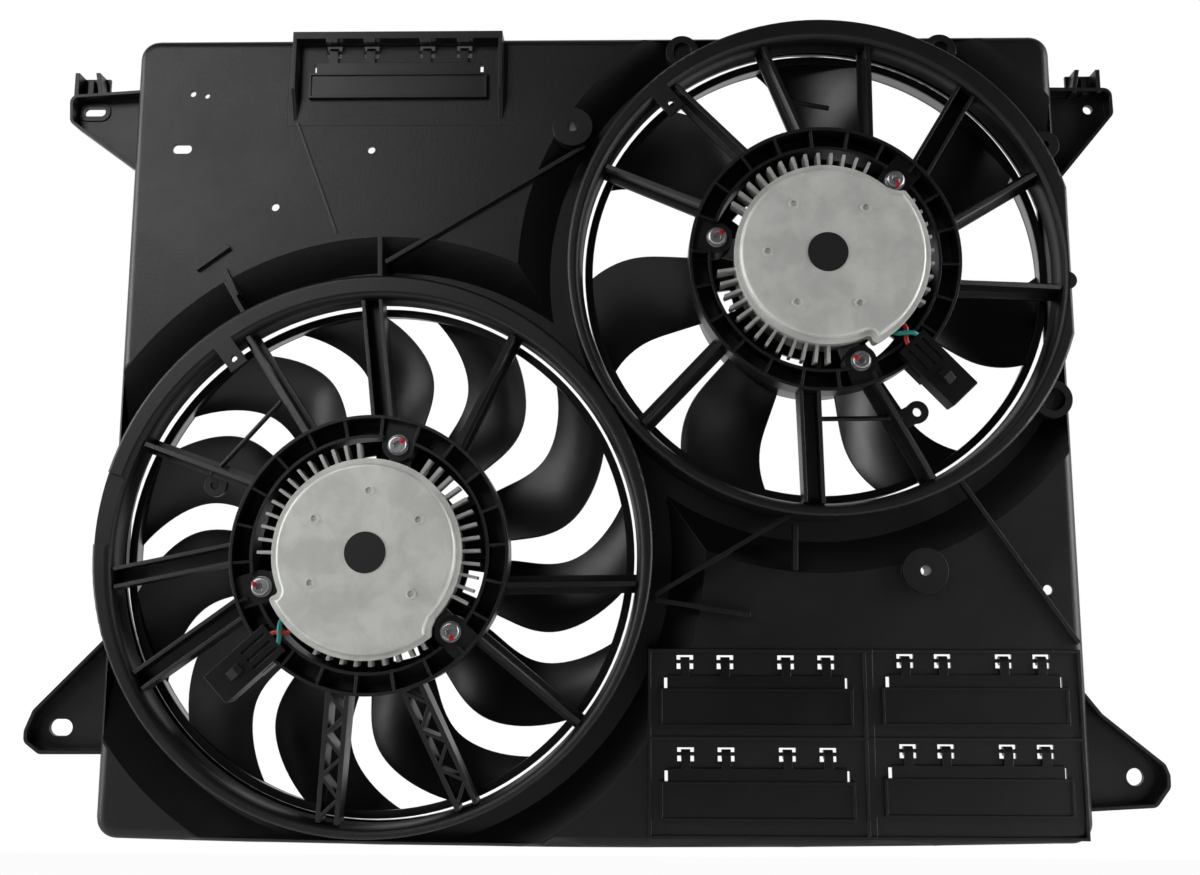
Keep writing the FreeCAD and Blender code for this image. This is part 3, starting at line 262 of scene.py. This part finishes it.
def plain_soft(name, look, rough, grain_size, depth):
    """A plain coloured coat with fine grain."""
    s = Shade(name)
    grain = s.noise(grain_size, 3.0, 0.5)
    tint = tuple(v * 0.8 for v in look) + (1.0,)
    colour = s.blend(grain, tint, rgb(look))
    normal = s.bump(grain, depth, s.edge(0.0003))
    return s.finish({"Base Color": colour, "Roughness": rough + (grain - 0.5) * 0.1, "Normal": normal})


def dress(slot_name, material):
    for part in frame["record"]["subparts"]:
        if part["material_slot"] == slot_name:
            mesh = NODES[part["node"]].data
            mesh.materials.clear()
            mesh.materials.append(material)


# Modelling helpers
def fresh():
    if bpy.context.object is not None and bpy.context.object.mode != "OBJECT":
        bpy.ops.object.mode_set(mode="OBJECT")
    bpy.ops.object.select_all(action="DESELECT")


def settle(piece, name, material, body):
    """Puts a finished piece's place into its mesh, names it and gives it its finish and body."""
    fresh()
    piece.select_set(True)
    bpy.context.view_layer.objects.active = piece
    bpy.ops.object.transform_apply(location=True, rotation=True, scale=True)
    piece.name = name
    piece.data.name = name
    piece.data.materials.clear()
    piece.data.materials.append(material)
    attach(piece, body)
    return piece


class TwinFanPlastics(bpy.types.PropertyGroup):
    shroud_colour: FloatVectorProperty(name="Shroud colour", description="Colour of the textured plastic",
                                       subtype="COLOR", default=(0.0026, 0.0027, 0.0028))
    fan_colour: FloatVectorProperty(name="Fan colour", description="Colour of the smoother fan plastic",
                                    subtype="COLOR", default=(0.0024, 0.0025, 0.0027))
    shroud_roughness: FloatProperty(name="Shroud roughness", description="Gloss of the textured plastic",
                                    default=0.42, min=0.0, max=1.0)
    fan_roughness: FloatProperty(name="Fan roughness", description="Gloss of the fan plastic",
                                 default=0.33, min=0.0, max=1.0)
    grain: FloatProperty(name="Grain", description="Size of the moulded grain", subtype="DISTANCE",
                         default=0.0011)


class TwinFanMetals(bpy.types.PropertyGroup):
    cover_colour: FloatVectorProperty(name="Cover colour", description="Colour of the pressed motor cover",
                                      subtype="COLOR", default=(0.72, 0.73, 0.695))
    cast_colour: FloatVectorProperty(name="Casting colour", description="Colour of the finned housing",
                                     subtype="COLOR", default=(0.52, 0.525, 0.505))
    zinc_colour: FloatVectorProperty(name="Zinc colour", description="Colour of the screws",
                                     subtype="COLOR", default=(0.62, 0.62, 0.64))
    dab_colour: FloatVectorProperty(name="Paint dab", description="Colour of the dab on each screw",
                                    subtype="COLOR", default=(0.45, 0.015, 0.01))
    dab_size: FloatProperty(name="Dab size", description="Radius of the paint dab", subtype="DISTANCE",
                            default=0.0022)


class TwinFanStage(bpy.types.PropertyGroup):
    camera_place: FloatVectorProperty(name="Camera place", description="Where the camera stands",
                                      subtype="TRANSLATION", default=(-0.339725, -0.823090, 0.104898))
    yaw: FloatProperty(name="Yaw", description="Turn of the camera to the left", default=1.0122)
    pitch: FloatProperty(name="Pitch", description="Tilt of the camera upwards", default=8.4235)
    roll: FloatProperty(name="Roll", description="Roll of the camera", default=0.1516)
    lens: FloatProperty(name="Lens", description="Focal length for a 36 mm sensor", default=36.0)
    key: FloatProperty(name="Key lamp", description="Power of the large lamp", default=8.5)
    side: FloatProperty(name="Side lamp", description="Power of the lamps at the sides", default=17.0)
    fill: FloatProperty(name="Fill lamp", description="Power of the low lamp at the right", default=3.0)
    sky: FloatProperty(name="Sky", description="Strength of the room's light", default=0.04)
    drop: FloatProperty(name="Floor drop", description="Room between the part and the floor",
                        subtype="DISTANCE", default=0.25)


class PlasticFinish(bpy.types.Operator):
    """Finishes the shroud, the flaps, the fans and the connectors"""
    bl_idname = "twinfan.plastic_finish"
    bl_label = "Plastic finishes"

    def execute(self, context):
        look = context.scene.twin_fan_plastics
        shroud = tuple(look.shroud_colour)
        fan = tuple(look.fan_colour)
        # Colour, size of grain, depth of grain, roughness and rounding of edges
        finishes = {
            "shroud_plastic": (shroud, look.grain, 0.00012, look.shroud_roughness, 0.0006),
            "flap_plastic": (shroud, look.grain * 0.8, 0.00006, look.shroud_roughness - 0.08, 0.0004),
            "fan_plastic": (fan, look.grain * 2, 0.00004, look.fan_roughness, 0.0006),
            "connector_plastic": (fan, look.grain * 0.7, 0.00003, 0.36, 0.0004),
        }
        for slot_name, values in finishes.items():
            dress(slot_name, moulded_black(slot_name + "_finish", *values))
        for slot_name, values in SOFT_FINISHES.items():
            dress(slot_name, plain_soft(slot_name + "_finish", *values))
        return {"FINISHED"}


class MetalFinish(bpy.types.Operator):
    """Finishes the motor housings, covers, screws and inner parts"""
    bl_idname = "twinfan.metal_finish"
    bl_label = "Metal finishes"

    def execute(self, context):
        look = context.scene.twin_fan_metals
        finishes = {
            "cover_sheet": (tuple(look.cover_colour), 0.0009, 0.00003, 0.5, 0.35),
            "cast_alloy": (tuple(look.cast_colour), 0.0012, 0.0001, 0.55, 0.4),
            "zinc_steel": (tuple(look.zinc_colour), 0.0008, 0.00003, 0.3, 0.9),
        }
        finishes.update(METAL_FINISHES)
        for slot_name, values in finishes.items():
            dress(slot_name, satin_metal(slot_name + "_finish", *values))
        return {"FINISHED"}


class PaintDabs(bpy.types.Operator):
    """Adds the dab of red paint on each motor screw"""
    bl_idname = "twinfan.paint_dabs"
    bl_label = "Paint dabs"

    def execute(self, context):
        look = context.scene.twin_fan_metals
        paint = plain_soft("dab_paint", tuple(look.dab_colour), 0.3, 0.0015, 0.00015)
        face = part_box("motor_screws")[0].y
        for side in SIDES:
            for k, angle in enumerate(SCREW_ANGLES):
                fresh()
                spot = polar(side, SCREW_CIRCLE, angle + TURN[side], face)
                way = 2.2 * k + 0.6
                spot += Vector((DAB_OFFSET * math.cos(way), DAB_LIFT, DAB_OFFSET * math.sin(way)))
                bpy.ops.mesh.primitive_uv_sphere_add(segments=20, ring_count=12, radius=look.dab_size,
                                                     location=spot)
                dab = bpy.context.object
                dab.scale = DAB_SQUASH
                dab.rotation_euler = (0.0, 0.8 * k, 0.0)
                fresh()
                dab.select_set(True)
                bpy.context.view_layer.objects.active = dab
                bpy.ops.object.transform_apply(location=False, rotation=True, scale=True)
                for v in dab.data.vertices:
                    swell = 1.0 + DAB_SWELL * math.sin(3 * math.atan2(v.co.z, v.co.x) + k)
                    v.co.x *= swell
                    v.co.z *= swell
                bpy.ops.object.shade_smooth()
                settle(dab, "%s_paint_dab_%d" % (side, k + 1), paint, "shroud")
        return {"FINISHED"}


class Stage(bpy.types.Operator):
    """Sets the floor, the lamps, the room light and the camera"""
    bl_idname = "twinfan.stage"
    bl_label = "Stage"

    def floor(self, stage, low, middle):
        fresh()
        bpy.ops.mesh.primitive_plane_add(size=FLOOR_SIZE, location=(middle.x, middle.y, low.z - stage.drop))
        floor = bpy.context.object
        floor.name = "floor"
        s = Shade("floor_paint")
        diffuse = s.node("ShaderNodeBsdfDiffuse", {}, {"Color": FLOOR_PAINT})
        glow = s.node("ShaderNodeEmission", {}, {"Color": WHITE, "Strength": 1.0})
        seen = s.node("ShaderNodeLightPath", {}, {}, "Is Camera Ray")
        mixed = s.node("ShaderNodeMixShader", {}, {0: seen * FLOOR_GLOW, 1: diffuse, 2: glow})
        s.close("ShaderNodeOutputMaterial", mixed)
        floor.data.materials.append(s.material)
        floor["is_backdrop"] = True

    def room(self, stage):
        """White to the camera, white behind the part in its reflections, dim everywhere else."""
        world = bpy.data.worlds.new("room")
        bpy.context.scene.world = world
        g = Graph(world)
        straight = g.node("ShaderNodeLightPath", {}, {}, "Is Camera Ray")
        mirrored = g.node("ShaderNodeLightPath", {}, {}, "Is Glossy Ray")
        through = g.node("ShaderNodeLightPath", {}, {}, "Is Transmission Ray")
        heading = g.node("ShaderNodeTexCoord", {}, {}, "Generated")
        backward = g.node("ShaderNodeSeparateXYZ", {}, {0: heading}, "Y")
        reach = {"Value": backward, "From Min": BACKDROP_STARTS, "From Max": BACKDROP_FULL}
        behind = g.node("ShaderNodeMapRange", {}, reach)
        white = straight.at_least(mirrored.at_least(through) * behind)
        strength = g.node("ShaderNodeMix", {}, {0: white, 2: stage.sky, 3: 1.0})
        light = g.node("ShaderNodeBackground", {}, {"Color": WHITE, "Strength": strength})
        g.close("ShaderNodeOutputWorld", light)

    def lamp(self, name, middle, power):
        offset, width, height = LAMPS[name]
        place = middle + Vector(offset)
        fresh()
        bpy.ops.object.light_add(type="AREA", location=place)
        lamp = bpy.context.object
        lamp.name = name
        lamp.data.shape = "RECTANGLE"
        lamp.data.size = width
        lamp.data.size_y = height
        lamp.data.energy = power
        lamp.rotation_euler = (middle - place).to_track_quat("-Z", "Y").to_euler()

    def execute(self, context):
        stage = context.scene.twin_fan_stage
        low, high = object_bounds()
        middle = (low + high) / 2
        self.floor(stage, low, middle)
        self.room(stage)
        self.lamp("key_lamp", middle, stage.key)
        self.lamp("left_lamp", middle, stage.side)
        self.lamp("right_lamp", middle, stage.side * RIGHT_SHARE)
        self.lamp("fill_lamp", middle, stage.fill)
        fresh()
        bpy.ops.object.camera_add(location=stage.camera_place)
        camera = bpy.context.object
        camera.name = "camera"
        turn = Matrix.Rotation(math.radians(stage.yaw), 3, "Z")
        turn = turn @ Matrix.Rotation(math.radians(90 + stage.pitch), 3, "X")
        turn = turn @ Matrix.Rotation(math.radians(stage.roll), 3, "Z")
        camera.rotation_euler = turn.to_euler()
        camera.data.lens = stage.lens
        camera.data.sensor_width = 36.0
        camera.data.clip_start = 0.01
        camera.data.clip_end = 50.0
        context.scene.camera = camera
        context.scene.view_settings.view_transform = "Standard"
        return {"FINISHED"}


class TwinFanPanel(bpy.types.Panel):
    """Lists the finishes and pieces of the twin fan"""
    bl_label = "Twin Fan"
    bl_idname = "VIEW3D_PT_twin_fan"
    bl_space_type = "VIEW_3D"
    bl_region_type = "UI"
    bl_category = "Twin Fan"

    def draw(self, context):
        for operator in OPERATORS:
            self.layout.operator(operator.bl_idname)
        for group in GROUPS:
            values = getattr(context.scene, group)
            for name in values.__annotations__:
                self.layout.prop(values, name)


OPERATORS = (PlasticFinish, MetalFinish, PaintDabs, Stage)
GROUPS = {
    "twin_fan_plastics": TwinFanPlastics,
    "twin_fan_metals": TwinFanMetals,
    "twin_fan_stage": TwinFanStage,
}


def register():
    for name, group in GROUPS.items():
        bpy.utils.register_class(group)
        setattr(bpy.types.Scene, name, PointerProperty(type=group))
    for operator in OPERATORS:
        bpy.utils.register_class(operator)
    bpy.utils.register_class(TwinFanPanel)


def unregister():
    bpy.utils.unregister_class(TwinFanPanel)
    for operator in reversed(OPERATORS):
        bpy.utils.unregister_class(operator)
    for name, group in GROUPS.items():
        delattr(bpy.types.Scene, name)
        bpy.utils.unregister_class(group)


def main():
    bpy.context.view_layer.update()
    register()
    bpy.ops.twinfan.plastic_finish()
    bpy.ops.twinfan.metal_finish()
    bpy.ops.twinfan.paint_dabs()
    bpy.ops.twinfan.stage()


if __name__ == "__main__":
    main()
